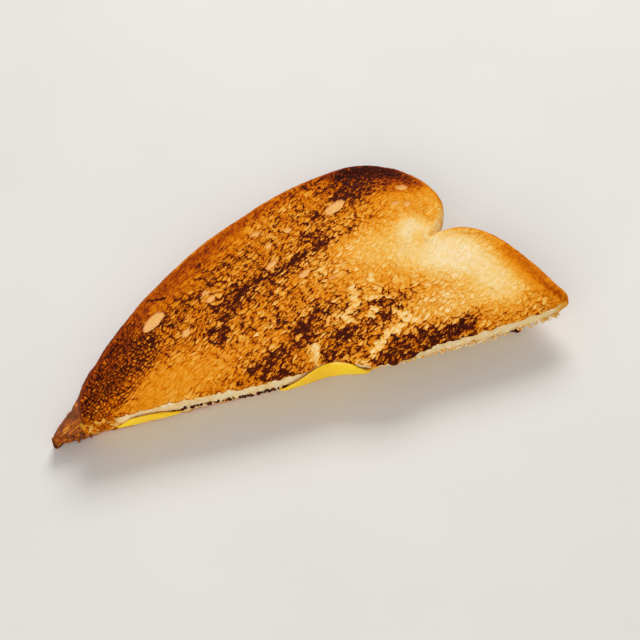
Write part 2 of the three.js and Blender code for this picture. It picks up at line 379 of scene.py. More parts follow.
def cells(a, b, seed):
    """Distance to the nearest and the next jittered point of a unit grid, and the nearest one's own number.
    Each point is chance's place in its square, at least a margin inside."""
    ia, ib = np.floor(a).astype(np.int64), np.floor(b).astype(np.int64)
    near = after = np.full(a.shape, np.inf)
    lot = np.zeros(a.shape)
    for step in range(9):
        ca, cb = ia + step % 3 - 1, ib + step // 3 - 1
        point_a = ca + CELL_MARGIN + (1 - 2 * CELL_MARGIN) * chance(ca, cb, 0 * ca, seed)
        point_b = cb + CELL_MARGIN + (1 - 2 * CELL_MARGIN) * chance(ca, cb, 0 * ca + 1, seed)
        far = np.hypot(point_a - a, point_b - b)
        closer = far < near
        after = np.where(closer, near, np.minimum(after, far))
        lot = np.where(closer, chance(ca, cb, 0 * ca + 2, seed), lot)
        near = np.where(closer, far, near)
    return near, after, lot


def turned(x, y, angle, length, width):
    """Turns the plan by an angle and divides by a length and a width, so that a long pore becomes round."""
    c, s = math.cos(math.radians(angle)), math.sin(math.radians(angle))
    return (x * c + y * s) / length, (y * c - x * s) / width


def marks(x, y, wanted):
    """Soft ellipses put together: each is strength / (1 + r^4), with r in half widths."""
    left = np.ones_like(x)
    for centre_x, centre_y, half_length, half_width, angle, strength in wanted:
        a, b = turned(x - centre_x, y - centre_y, angle, half_length, half_width)
        left = left * (1 - strength / (1 + (a * a + b * b) ** 2))
    return 1 - left


middle_mark = marks(np.array([0.0, 2.0, 4.0]), np.zeros(3), [(0, 0, 2, 1, 0, 1.0)])
print("a mark at its middle, its edge and twice as far", middle_mark.round(2))

# %% [markdown]
# ## Where the pan browned the bread
# Browning goes from 0, untouched cream, to 1, char. Bread rises from the pan round the notch, which stays
# cream, and is pressed hardest in a slanting band, round the lobe and along the cut. Each mark is a middle,
# half a length, half a width, a slant and a strength.

# %% The browning map
FACE_TINTS = [
    # browning wanted, and where
    (0.48, (72, 25, 34, 20, 10, 0.9)),
    (0.40, (90, 32, 14, 13, 50, 0.85)),
    (0.29, (104, 36, 9, 15, 70, 0.9)),
    (0.29, (124, 9, 20, 8, 4, 0.9)),
    (0.13, (134, 15, 6, 11, 15, 0.8)),
    (0.09, (124, 28, 14, 10, -25, 1.0)),
    (0.08, (116.5, 40, 5.5, 8, 10, 0.97)),
    (0.44, (147, 15, 19, 4.5, -66, 0.9)),
    (0.36, (117, 54, 9, 4.5, -20, 0.8)),
    (0.40, (28, 5, 19, 8, 14, 1.0)),
    (0.65, (12, 16, 17, 8, 48, 0.85)),
    (0.54, (48, 52, 34, 6, 34, 0.8)),
    (0.60, (103, 67, 18, 6, -3, 0.9)),
    (0.50, (121, 63, 10, 5, -50, 0.8)),
    (0.34, (125.5, 50, 3.5, 7, 0, 0.9)),
]
CALM = [
    (28, 4, 17, 7, 14, 0.68),
    (47, 51, 40, 7, 37, 0.6),
    (120, 57, 11, 13, -15, 0.6),
    (147, 15, 19, 6, -66, 0.8),
    (133, 12, 10, 12, 0, 0.5),
    (115, 33, 20, 13, -10, 0.5),
]
SLANTING_BAND = [
    (46.5, 19, 6, 3.5, 60, 1.0),
    (52, 28, 6, 2.6, 55, 0.9),
    (57, 34.5, 6, 3, 35, 1.0),
    (68, 36.5, 9, 3, 12, 1.0),
    (79, 42, 6, 3, 35, 0.9),
    (86, 45, 7, 4, 20, 0.9),
    (95, 47.5, 6, 1.8, 20, 0.6),
]
LOWER_STREAKS = [
    (60, 5.5, 9, 2.2, 25, 0.95),
    (70, 10.5, 6, 2.6, 35, 0.9),
    (78, 17, 7, 3, 35, 0.9),
    (84, 6, 9, 4, 10, 0.85),
    (97, 10.5, 7, 2.6, 20, 0.9),
    (95, 16, 7, 3, 0, 0.75),
    (105, 16, 6, 4, -20, 0.65),
]
CUT_EDGE = [
    (46, -3, 3, 1.4, 15, 0.8),
    (59, -1.5, 6, 3, 15, 0.9),
    (75.5, 3, 2.2, 2.2, 0, 0.9),
    (82, 0, 6, 2, 10, 0.7),
    (96, -3.5, 9, 4.5, 8, 1.0),
    (109, -2.5, 9, 4.2, 8, 1.0),
    (119, 0, 8, 3.6, 20, 0.85),
]
LOBE = [
    (101, 63, 6, 4.5, -10, 0.95),
    (110, 70, 12, 3.5, -15, 0.8),
]
MOTTLED = [
    (70, 27, 34, 22, 25, 0.35),
    (22, 20, 12, 7, 42, 0.36),
    (6, 7, 10, 7, 48, 0.42),
    (35, 32, 8, 4, 40, 0.55),
    (49, 44, 12, 5, 20, 0.50),
    (91, 56, 14, 5, 15, 0.5),
    (121, 11, 8, 3.5, 10, 0.35),
]
PALE_BUBBLES = [
    (27.3, 29.4, 4.8, 2.0, 40, 1.0),
    (94.5, 58.2, 4.0, 1.9, 30, 1.0),
    (36, 22, 2.2, 1.2, 50, 0.7),
    (118, 60, 1.9, 1.1, -20, 0.9),
    (114, 54, 1.3, 0.9, 0, 0.8),
    (117.7, 52.4, 1.3, 1.0, 30, 0.9),
    (66.8, 55, 1.6, 1.0, 0, 0.8),
    (77.2, 53, 1.3, 1.1, 0, 0.8),
    (69.5, 48.5, 1.8, 1.0, 40, 0.7),
    (45.6, 35.6, 1.3, 0.9, 0, 0.8),
    (46.5, 32.8, 2.2, 1.0, 30, 0.8),
    (68.5, 40.6, 2.8, 1.1, 35, 0.8),
    (77.5, 34, 3.2, 1.2, 35, 0.7),
    (85.5, 29.5, 1.6, 1.2, 0, 0.6),
]
TORN_PATCHES = [
    (89.5, 21, 4.6, 1.3, 74, 0.9),
    (72.8, 4.3, 1.8, 1.7, 30, 0.9),
    (71.5, 0.6, 1.7, 1.6, 60, 0.9),
    (93.5, 12.5, 3.0, 1.5, 50, 1.0),
    (85, 12, 3.6, 1.2, -40, 0.9),
    (103.5, 7.5, 4.0, 1.8, -35, 1.0),
    (98, 4, 4.0, 1.3, 15, 0.9),
    (91, -0.5, 4.2, 1.4, 35, 1.0),
    (84.5, -4, 3.0, 1.6, -20, 0.9),
    (97, 26, 2.6, 2.0, 20, 0.6),
    (88, 16, 5.0, 1.0, 30, 0.7),
    (97, 17.5, 4.0, 1.0, -15, 0.6),
    (131.5, 8, 2.6, 0.8, 70, 0.9),
]
BURNT_LINE = [(30.5, 37.8, 2.8, 0.45, -8, 1.0)]


def tinted(x, y, tints, start):
    """Starts from one browning and draws it towards each tint in turn, as far as its soft ellipse says."""
    level = np.full(x.shape, start)
    for wanted, mark in tints:
        level = level + (wanted - level) * marks(x, y, [mark])
    return level


print(len(FACE_TINTS), "tints,", len(PALE_BUBBLES), "pale bubbles,", len(TORN_PATCHES), "torn patches")


# %% [markdown]
# ## The fried face
# Pores are drawn out along one slant where the loaf was rolled, are small and round at the left end and in
# the lobe, and broad near the notch. Their floors stay pale and their walls scorch, so relief and colour
# come from the same cells.

# %% Pores and scorch on the face
GRAIN = 33.0
PORE_LENGTH, PORE_WIDTH = 3.2, 1.05
SMALL_PORES = [(12, 16, 22, 12, 48, 0.95), (112, 66, 18, 9, -20, 0.8)]
BROAD_PORES = [(101, 29, 9, 13, 0, 0.9), (118, 10, 12, 6, 0, 0.8)]
OTHER_PORES = [
    # seed, length, width, how much thicker the walls are, and where
    (4, 1.5, 0.95, 0.10, SMALL_PORES),
    (14, 2.3, 1.4, -0.06, BROAD_PORES),
]
BENDS = [
    # size, how far it bends the grain, and seed
    (11, 2.6, 1),
    (2.7, 1.5, 8),
    (1.1, 0.5, 16),
]


def face_pattern(x, y):
    """Cells of three sizes give pores with walls: the wall value is the distance to the next point less the
    one to the nearest. Streaky noise breaks the scorch marks up between them."""
    none = np.zeros_like(x)
    bend_x, bend_y = x, y
    for size, by, seed in BENDS:
        bend_x = bend_x + by * (noise(x, y, none, size, seed) - 0.5)
        bend_y = bend_y + by * (noise(x, y, none, size, seed + 1) - 0.5)
    near, after, lot = cells(*turned(bend_x, bend_y, GRAIN, PORE_LENGTH, PORE_WIDTH), 3)
    wall = after - near
    for seed, length, width, thicker, where in OTHER_PORES:
        near, after, lot_here = cells(*turned(bend_x, bend_y, GRAIN, length, width), seed)
        blend = smooth(0.35, 0.65, marks(x, y, where))
        wall = wall + (after - near - thicker - wall) * blend
        lot = lot + (lot_here - lot) * blend
    streak_a, streak_b = turned(bend_x, bend_y, GRAIN, 2.8, 1.1)
    fine_streak = noise(streak_a * 2, streak_b * 2, none, 1, 6)
    streak = 0.6 * noise(streak_a, streak_b, none, 1, 5) + 0.4 * fine_streak
    blotch = 0.6 * noise(bend_x, bend_y, none, 3.4, 7) + 0.4 * noise(bend_x, bend_y, none, 1.7, 10)
    marked = marks(x, y, SLANTING_BAND + LOWER_STREAKS + CUT_EDGE + LOBE + MOTTLED)
    scorch = 0.72 * marked + 0.8 * (streak - 0.5) + 0.6 * (blotch - 0.5)
    scorch = scorch - 0.22 * smooth(0.08, 0.4, wall) * smooth(0.25, 0.7, lot)
    return wall, lot, scorch, streak, marked


# %% The face's browning
FACE_BROWNING = 0.50
BUBBLE_BROWNING = 0.36
TORN_BROWNING = 0.19


def crust_rim(x, y, inland):
    """How much browner the face is beside its crust: most in the crown, and hardly round the notch."""
    away_from_notch = 1 - 0.95 * smooth(112, 122, x) * (1 - smooth(52, 62, y)) * smooth(22, 30, y)
    crown = smooth(93, 101, x) * (1 - smooth(116, 126, x))
    return (0.10 * hill(inland, 0, 2.5) + 0.17 * crown * hill(inland, 0, 5)) * away_from_notch


def open_places(x, y):
    """1 in the pale bubbles, and 1 in the torn patches, with edges made ragged by noise."""
    ragged = noise(x, y, 0 * x, 1.3, 11) + 0.6 * noise(x, y, 0 * x, 0.7, 12) - 0.8
    bubble = smooth(0.45, 0.6, marks(x, y, PALE_BUBBLES) + 0.15 * ragged)
    patch = marks(x, y, TORN_PATCHES)
    return bubble, smooth(0.40, 0.60, patch + 1.1 * ragged * np.sqrt(patch))


def face_browning(x, y, inland):
    """The tints and the crust's own darker rim, with the bubbles and torn patches drawn towards their paler
    browning. Scorch is lower where the bread is pale, calm or open; contrast is how far pores show."""
    wall, lot, scorch, streak, marked = face_pattern(x, y)
    bubble, torn = open_places(x, y)
    open_bread = np.maximum(bubble, torn)
    calm = marks(x, y, CALM)
    level = tinted(x, y, FACE_TINTS, FACE_BROWNING)
    scorch = scorch - 0.9 * (1 - smooth(0.10, 0.46, level)) - 0.3 * calm
    scorch = scorch - 0.7 * open_bread + 1.4 * marks(x, y, BURNT_LINE)
    level = level + 0.10 * marked
    contrast = (0.42 + 0.58 * smooth(0.10, 0.42, level)) * (1 - calm)
    level = level + crust_rim(x, y, inland) + 0.10 * contrast * (streak - 0.5)
    ring = 4 * bubble * (1 - bubble)
    level = level + (BUBBLE_BROWNING - level) * bubble + 0.16 * ring
    level = level + (TORN_BROWNING - level) * torn
    values = {
        "browning": level,
        "scorch": scorch,
        "wall": wall + bubble,
        "pale": (0.02 + 0.22 * lot**2) * smooth(0.06, 0.4, wall) * (1 - open_bread),
        "contrast": contrast,
        "bubble": bubble,
    }
    return values, open_bread


middle_of_face, _ = face_browning(np.array([72.0]), np.array([25.0]), np.array([40.0]))
print("the middle of the face:", {key: round(float(value[0]), 2) for key, value in middle_of_face.items()})


# %% [markdown]
# ## Toasted bread
# White bread fried in butter: starch and sugar brown from cream through gold to nearly black. The eye sees
# it in three sizes: the map above, pores of one to three millimetres, and grains under half a millimetre.
# The first two are in the mesh; the last, and the finest pores, are nodes. It is matt, and a little greasy
# where it is dark. One ramp gives every browning its colour, so cream and char always meet through gold.

# %% Colour and node helpers
def linear(hex_colour):
    """An sRGB hex colour as linear red, green, blue and 1: each part p becomes ((p + 0.055) / 1.055)^2.4,
    or p / 12.92 where it is nearly black."""
    parts = [int(hex_colour[i : i + 2], 16) / 255 for i in (1, 3, 5)]
    return [p / 12.92 if p <= 0.04045 else ((p + 0.055) / 1.055) ** 2.4 for p in parts] + [1.0]


def add(tree, kind, inputs=None, stops=None, **settings):
    """Adds a node with its settings, its ramp stops, and for each socket a value or a node's output."""
    made = tree.nodes.new(kind)
    for key, value in settings.items():
        setattr(made, key, value)
    for socket, value in (inputs or {}).items():
        if isinstance(value, bpy.types.NodeSocket):
            tree.links.new(value, made.inputs[socket])
        else:
            made.inputs[socket].default_value = value
    for place, colour in stops or []:
        stop = made.color_ramp.elements.new(place)
        stop.color = linear(colour)
    if stops:
        made.color_ramp.elements.remove(made.color_ramp.elements[0])
        made.color_ramp.elements.remove(made.color_ramp.elements[-1])
    return made


def new_material(name):
    """A material with an empty node tree."""
    material = bpy.data.materials.new(name)
    material.use_nodes = True
    material.node_tree.nodes.clear()
    return material, material.node_tree


def weighted_sum(tree, start, terms):
    """Start plus each value times its weight, as a chain of multiply-and-add nodes."""
    total = start
    for value, weight in terms:
        inputs = {0: value, 1: weight, 2: total}
        total = add(tree, "ShaderNodeMath", inputs, operation="MULTIPLY_ADD").outputs[0]
    return total


def eased(value, start, stop, low, high):
    """What a smooth step needs: it goes from low to high while the value goes from start to stop."""
    return {"Value": value, "From Min": start, "From Max": stop, "To Min": low, "To Max": high}


EASED_STEP = {"kind": "ShaderNodeMapRange", "interpolation_type": "SMOOTHSTEP"}
print("mid gold in linear light:", [round(part, 3) for part in linear("#ec9d2b")])

# %% The bread's colours and sizes
BROWNING_COLOURS = [
    (0.001, "#fbe9c4"),
    (0.12, "#f6d492"),
    (0.24, "#f2bb57"),
    (0.34, "#ec9d2b"),
    (0.44, "#e28606"),
    (0.52, "#cd6800"),
    (0.60, "#aa4600"),
    (0.70, "#7c2a02"),
    (0.80, "#531804"),
    (0.90, "#351005"),
    (0.999, "#1e0806"),
]
BREAD_VALUES = ["browning", "scorch", "wall", "pale", "contrast", "bubble"]
PALE_BUBBLE = "#f0bf80"
BUBBLE_SHARE = 0.55
FINE_PORE = (1.7 * MM, 0.62 * MM, 0.62 * MM)
GRIT = 0.5 * MM
SPECK_SPACING = 2.6 * MM
FINE_DEPTH = 0.25 * MM
FINE_DEPTH_UNDER = 0.3 * MM
# the real grit is finer still: half a millimetre is the least that shows from this far

# about the mean of walls, streaks and grit, so that they leave the map's browning as it is on the whole
PATTERN_MEAN = 0.43
# where the scorch sum starts and ends a halo, and char, and how brown each is
HALO_RANGE, HALO_BROWNING = (1.02, 1.44), 0.24
CHAR_RANGE, CHAR_BROWNING = (1.34, 1.48), 0.68
print("grit", GRIT / MM, "mm, fine pores", FINE_PORE[0] / MM, "by", FINE_PORE[1] / MM, "mm")

# %% The bread's textures
def bread_textures(tree):
    """Grit, streaks and the distance to the fine pores' walls along the bent grain, and sparse specks."""
    place = add(tree, "ShaderNodeTexCoord").outputs["Object"]
    turn_to_grain = {"Vector": place, "Rotation": (0, 0, math.radians(GRAIN)), "Scale": FINE_PORE}
    grain = add(tree, "ShaderNodeMapping", turn_to_grain, vector_type="TEXTURE").outputs["Vector"]
    swirl = {"Vector": grain, "Scale": 0.7, "Detail": 1.0}
    bend = add(tree, "ShaderNodeTexNoise", swirl).outputs["Color"]
    small_swirl = {"Vector": grain, "Scale": 2.0, "Detail": 2.0}
    more_bend = add(tree, "ShaderNodeTexNoise", small_swirl).outputs["Color"]
    bent = add(tree, "ShaderNodeVectorMath", {0: grain, 1: bend}, operation="ADD").outputs["Vector"]
    half_more = {0: more_bend, 1: (0.5, 0.5, 0.5), 2: bent}
    bent = add(tree, "ShaderNodeVectorMath", half_more, operation="MULTIPLY_ADD").outputs["Vector"]
    pore_cells = {"Vector": bent, "Scale": 1.0, "Randomness": 1.0}
    to_wall = add(tree, "ShaderNodeTexVoronoi", pore_cells, feature="DISTANCE_TO_EDGE").outputs["Distance"]
    fine_noise = {"Vector": place, "Scale": 1 / GRIT, "Detail": 2.0, "Roughness": 0.6}
    grit = add(tree, "ShaderNodeTexNoise", fine_noise).outputs["Fac"]
    long_noise = {"Vector": bent, "Scale": 0.8, "Detail": 3.0}
    streak = add(tree, "ShaderNodeTexNoise", long_noise).outputs["Fac"]
    speck_cells = {"Vector": place, "Scale": 1 / SPECK_SPACING, "Randomness": 1.0}
    speck = add(tree, "ShaderNodeTexVoronoi", speck_cells).outputs["Distance"]
    return grit, streak, to_wall, speck


# %% The bread material
def toasted_bread(name, fine_depth):
    """The ramp, read at the mesh's browning plus walls, streaks and grit, less the pale pore floors. Where
    scorch plus walls, streaks and grit passes a threshold it turns to char, after a brown halo."""
    material, tree = new_material(name)
    grit, streak, to_wall, speck = bread_textures(tree)
    value = {}
    for key in BREAD_VALUES:
        value[key] = add(tree, "ShaderNodeAttribute", attribute_name=key).outputs["Fac"]
    contrast = value["contrast"]
    rough_wall = weighted_sum(tree, value["wall"], [(grit, 0.30)])
    wall = add(tree, inputs=eased(rough_wall, 0.14, 0.48, 1.0, 0.0), **EASED_STEP).outputs["Result"]
    fine_wall = add(tree, inputs=eased(to_wall, 0.0, 0.22, 1.0, 0.0), **EASED_STEP).outputs["Result"]

    patterns = [(wall, 0.20), (fine_wall, 0.12), (streak, 0.34), (grit, 0.30), (value["pale"], -1.0)]
    shift = weighted_sum(tree, -PATTERN_MEAN, patterns)
    level = weighted_sum(tree, value["browning"], [(shift, contrast)])

    scorching = [(fine_wall, 0.26), (wall, 0.40), (streak, 0.6), (grit, 0.6)]
    potential = weighted_sum(tree, value["scorch"], scorching)
    halo = add(tree, inputs=eased(potential, *HALO_RANGE, 0.0, HALO_BROWNING), **EASED_STEP).outputs["Result"]
    char = add(tree, inputs=eased(potential, *CHAR_RANGE, 0.0, 1.0), **EASED_STEP).outputs["Result"]
    level = weighted_sum(tree, level, [(halo, contrast)])
    black = weighted_sum(tree, CHAR_BROWNING, [(grit, 0.34)])
    short_of_black = weighted_sum(tree, black, [(level, -1.0)])
    level = weighted_sum(tree, level, [(char, short_of_black)])
    dot = add(tree, inputs=eased(speck, 0.05, 0.13, 0.35, 0.0), **EASED_STEP).outputs["Result"]
    level = weighted_sum(tree, level, [(dot, contrast)])

    toast = add(tree, "ShaderNodeValToRGB", {"Fac": level}, BROWNING_COLOURS).outputs["Color"]
    share = weighted_sum(tree, 0.0, [(value["bubble"], BUBBLE_SHARE)])
    # a colour mix has its share in socket 0 and its two colours in sockets 6 and 7
    mix_inputs = {0: share, 6: toast, 7: linear(PALE_BUBBLE)}
    colour = add(tree, "ShaderNodeMix", mix_inputs, data_type="RGBA").outputs[2]

    # butter makes the dark parts a little glossier than dry bread
    roughness = add(tree, inputs=eased(level, 0.3, 0.9, 0.75, 0.5), **EASED_STEP).outputs["Result"]
    height = weighted_sum(tree, grit, [(wall, 0.4), (fine_wall, 0.35)])
    bump_settings = {"Strength": 0.75, "Distance": fine_depth, "Height": height}
    bump = add(tree, "ShaderNodeBump", bump_settings).outputs["Normal"]
    finish = {"Base Color": colour, "Roughness": roughness, "Normal": bump}
    shader = add(tree, "ShaderNodeBsdfPrincipled", finish)
    shader.inputs["IOR"].default_value = 1.45
    shader.inputs["Specular IOR Level"].default_value = 0.04
    add(tree, "ShaderNodeOutputMaterial", {"Surface": shader.outputs["BSDF"]})
    print(f"{name}: {len(tree.nodes)} nodes")
    return material


bread = toasted_bread("toasted white bread", FINE_DEPTH)
under_bread = toasted_bread("toasted white bread underneath", FINE_DEPTH_UNDER)

# %% [markdown]
# ## The upper slice
# It stands for the measured upper slice, so it goes in its place: the cut's frame is moved so that its far
# tip and its crown touch the measured box. The measured slice's rim has points at a fixed number of steps,
# crowded towards the tips, so the same steps find its farthest points here.

# %% The cut frame's place in the model
upper_low, upper_high = (np.array(corner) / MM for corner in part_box("upper_slice"))
CAD_STEPS = 84
TIP_CROWDING = 0.6
UPPER_FLOOR = upper_low[2]


def upper_plan(s):
    """The upper slice's fan, with the torn edge added to the bow."""
    return fan(s, (0, 0), -CRUST_FLARE, 0, lambda x: knife_bow(x) + tear(x))


steps = np.linspace(0, 1, CAD_STEPS + 1)
steps = steps - TIP_CROWDING * np.sin(2 * np.pi * steps) / (2 * np.pi)
far_rim = upper_plan(steps)["rim"].max(0)
PLACE = np.array([upper_high[0] - far_rim[0], upper_high[1] - far_rim[1], 0])
print("cut frame at", PLACE.round(2), "mm, upper floor", round(float(UPPER_FLOOR), 2), "mm")

# %% The upper slice's shape
UPPER_ROWS = {"top": 150, "crust": 30, "under": 10, "cut": 34}
UPPER_COLUMNS = 436
UPPER_CROWN = 0.5
FINE_STEPS = 4001
PLACES_ALONG = 9


def even_columns(count, plan):
    """Shares along the crust for which neighbouring lines of the fan are never far apart anywhere: equal
    steps of the running total of the widest gap between them."""
    fine = np.linspace(0, 1, FINE_STEPS)
    line = plan(fine)
    round_off = np.minimum(CRUST_ROUND, ROUND_SHARE * line["length"])
    points = along(line, line["cut"], np.linspace(0, 1, PLACES_ALONG), round_off)
    apart = np.linalg.norm(np.diff(points, axis=0), axis=-1).max(1)
    run = np.concatenate([[0], np.cumsum(apart)])
    return np.interp(np.linspace(0, run[-1], count), run, fine)


def section_shares(rows):
    """For each row, the name of its part of the section and its share of the way through that part."""
    names = np.repeat(list(rows), list(rows.values()))
    share = np.concatenate([np.linspace(0, 1, n, endpoint=False) for n in rows.values()])
    return names, share


upper_line = upper_plan(even_columns(UPPER_COLUMNS, upper_plan))
upper_grid = slice_surface(upper_line, UPPER_FLOOR, EDGE_PRESS, UPPER_CROWN, UPPER_LEAN, tear, UPPER_ROWS)
names, share = section_shares(UPPER_ROWS)
on_face, on_crust, on_cut = names == "top", names == "crust", names == "cut"
print("upper slice grid", upper_grid.shape)

# %% The browning of its crust and its crumb, with painted shade at the crust's left end
CRUST_BROWNING = 0.56
CRUMB_BROWNING = 0.10
# The crust is browner in the crown and paler in the notch. Towards the left end it is darker, partly browner
# crust and partly painted shade.
# The crumb is cream and browns at the two tips.
NOTCH_SIDE = [(124, 42, 5, 8, -30, 1.0)]
x, y, z = np.moveaxis(upper_grid, -1, 0)
# the 0.20 term darkens the crust towards the left end: partly browner crust, partly painted shade
side_level = CRUST_BROWNING + 0.20 * (1 - smooth(8, 44, x)) + 0.24 * hill(x, 110, 12) * smooth(60, 70, y)
side_level = side_level - 0.05 * smooth(128, 140, x) - 0.34 * marks(x, y, NOTCH_SIDE)
side_level = side_level + 0.2 * (noise(x, y, z, 2.4, 21) - 0.5) + 0.14 * (noise(x, y, z, 0.9, 22) - 0.5)
on_side = smooth(0.02, 0.22, share) * on_crust
drip = 0.10 * noise(x, 0 * y, 0 * z, 2.6, 23) + 0.16 * noise(x, 0 * y, 0 * z, 0.9, 24) - 0.06
on_crumb = np.where(on_cut, smooth(0.0, 0.06, 1 - share - drip), 0)
tips = np.clip(hill(x, 0, 7) + 0.8 * hill(x, CUT_LENGTH, 3), 0, 1)
crumb_level = CRUMB_BROWNING + 0.16 * (noise(x, y, z, 1.3, 25) - 0.5) + 0.34 * tips
print("crust browning", side_level.mean().round(2), "crumb browning", crumb_level.mean().round(2))

# %% Face, crust and crumb together
inland = np.where(on_face, 1 - share, 0) * upper_line["length"][:, None]
finish, open_bread = face_browning(x, y, inland)
hidden = (names == "under") + 0.0
for key, side_value, crumb_value in [
    ("browning", side_level, crumb_level),
    ("scorch", 0.1, -0.6),
    ("wall", 0.6, 1.0),
    ("pale", 0.0, 0.0),
    ("contrast", 0.8, 0.3 + 0.5 * tips),
    ("bubble", 0.0, 0.0),
]:
    value = finish[key]
    value = value + (side_value - value) * on_side
    value = value + (crumb_value - value) * np.maximum(on_crumb, hidden)
    finish[key] = value
print("browning", {key: (round(float(v.min()), 2), round(float(v.max()), 2)) for key, v in finish.items()})

# %% The upper slice's relief
SADDLE = [(116, 43, 4, 9, 20, 1.0)]
HIGHEST_BUMP = 0.3
# Pores and torn patches are pressed in, the saddle beside the notch dips, and the cut's top edge has teeth.
inland_from_cut = np.where(on_face, share, 9) * upper_line["length"][:, None]
fade = smooth(0, RELIEF_FADE, upper_line["length"])[:, None]
face_weight = np.where(on_face, 1, np.where(on_crust, 1 - smooth(0.05, 0.3, share), 0))
waves = 0.5 * (noise(x, y, z, 13, 31) - 0.5) + 0.3 * (noise(x, y, z, 5, 32) - 0.5)
pores = -0.45 * smooth(0.05, 0.4, finish["wall"]) * finish["contrast"] * (1 - open_bread)
saddle = -0.3 * marks(x, y, SADDLE)
grain_relief = 0.22 * (noise(x, y, z, 0.8, 33) - 0.5)
relief = waves + face_weight * (pores - 0.6 * open_bread + saddle) + grain_relief
crumb_relief = 0.5 * (noise(x, y, z, 1.2, 34) - 0.5) + 0.5 * (noise(x, y, z, 3.1, 35) - 0.5)
edge_teeth = 0.9 * (noise(x, 0 * y, 0 * z, 1.3, 36) - 0.5) + 0.7 * (noise(x, 0 * y, 0 * z, 0.6, 37) - 0.5)
relief = np.where(on_cut, crumb_relief, relief) * fade
relief = np.where(names == "under", 0, relief)
direction = ways_out(upper_grid)
direction[:, on_face] = (0, 0, 1)
upper_shape = upper_grid + relief[..., None] * direction
near_edge = np.where(on_face, np.exp(-inland_from_cut / 1.2), np.where(on_cut, smooth(0.75, 1, share), 0))
upper_shape[..., 1] += edge_teeth * near_edge * fade
upper_shape[..., 2] = np.minimum(upper_shape[..., 2], upper_high[2] + HIGHEST_BUMP)
upper_piece = closed_mesh("upper_toast", upper_shape, PLACE, finish, bread)
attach(upper_piece, "root")
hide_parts("upper_slice")

# %% [markdown]
# ## The lower slice
# The same loaf, shifted left and forward before the cut. Its fried face is underneath and flat from the
# pan, and only its brown tip shows from above, so the rest has fewer rows.

# %% The lower slice's shape
LOWER_SHIFT = (-11, -6.5)
FOOT_TRIM = 0.35
LOWER_CUT_Y = 3.0
LOWER_ROWS = {"top": 12, "crust": 30, "under": 90, "cut": 30}
LOWER_COLUMNS = 330
LOWEST = 0.02


def lower_plan(s):
    """The lower slice's fan: the same outline moved by its shift, with a straight cut."""
    return fan(s, LOWER_SHIFT, -CRUST_FLARE, LOWER_CUT_Y, lambda x: 0 * x)


lower_line = lower_plan(even_columns(LOWER_COLUMNS, lower_plan))
lower_grid = slice_surface(lower_line, -FOOT_TRIM, 0, 0, LOWER_LEAN, lambda x: 0 * x, LOWER_ROWS)
names, share = section_shares(LOWER_ROWS)
on_crust, on_under, on_cut = names == "crust", names == "under", names == "cut"
print("lower slice grid", lower_grid.shape)

# %% The lower slice's browning
x, y, z = np.moveaxis(lower_grid, -1, 0)
scorch = smooth(0.45, 0.75, 0.6 * noise(x, y, z, 9, 41) + 0.4 * noise(x, y, z, 2.2, 42))
under_level = 0.50 + 0.34 * scorch + 0.14 * (noise(x, y, z, 1.2, 43) - 0.5)
at_tip = 1 - smooth(-4, 6, x)
crust_mottle = 0.3 * (noise(x, y, z, 2.0, 44) - 0.5) + 0.14 * (noise(x, y, z, 0.8, 45) - 0.5)
crust_level = 0.58 + 0.14 * at_tip + crust_mottle
crumb_level = CRUMB_BROWNING + 0.12 * (noise(x, y, z, 1.2, 46) - 0.5)
crumb_level = crumb_level + 0.4 * (1 - smooth(0.05, 0.22, share)) + 0.58 * hill(x, -11, 12)
tip_mottle = 0.5 * (noise(x, y, z, 1.6, 51) - 0.5) + 0.3 * (noise(x, y, z, 0.8, 52) - 0.5)
bare_top = CRUMB_BROWNING + (0.60 + tip_mottle) * at_tip
level = np.select([on_crust, on_under, on_cut], [crust_level, under_level, crumb_level], bare_top)
finish = {
    "browning": level,
    "scorch": np.where(on_under, scorch - 0.25, -0.2),
    "wall": np.where(on_under, 2.0 * noise(x, y, z, 1.6, 50) - 0.4, 0.8),
    "pale": np.where(on_under, 0.12, 0.0) + 0 * x,
    "contrast": np.select([on_crust, on_under, on_cut], [0.9, 0.9, 0.4], 0.2 + 0.7 * at_tip) + 0 * x,
    "bubble": 0.18 * at_tip,
}
print("the lower tip's browning", level[at_tip > 0.9].mean().round(2))

# %% The lower slice's relief
bubbles = noise(x, y, z, 2.2, 47) + 0.6 * noise(x, y, z, 1.0, 48)
under_pores = -0.25 * smooth(0.5, 0.8, noise(x, y, z, 1.3, 49))
top_relief = 1.2 * (bubbles - 0.9) * at_tip
crumb_relief = 0.6 * (bubbles - 0.8)
crust_relief = 0.9 * (bubbles - 0.9)
relief = np.select([on_crust, on_under, on_cut], [crust_relief, under_pores, crumb_relief], top_relief)
relief = relief * smooth(0, RELIEF_FADE, lower_line["length"])[:, None]
lower_shape = lower_grid + relief[..., None] * ways_out(lower_grid)
lower_shape[..., 2] = np.maximum(lower_shape[..., 2], LOWEST)
lower_piece = closed_mesh("lower_toast", lower_shape, PLACE, finish, under_bread)
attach(lower_piece, "root")
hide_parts("lower_slice")

# %% [markdown]
# ## The cheese
# Melted processed cheese: smooth, glossy, a little see-through, so light spreads inside it. It runs through
# the half, bulges along the cut and has run up over the crumb in the bay. A soft body could be simulated,
# but a rounded section carried along the fan holds its measured place.

# %% The cheese's material
CHEESE_COLOURS = [(0.3, "#ffc404"), (0.55, "#ffcd08"), (0.75, "#ffd614")]
OIL_BLOTCH = 7 * MM
CHEESE_SWELL = 2 * MM


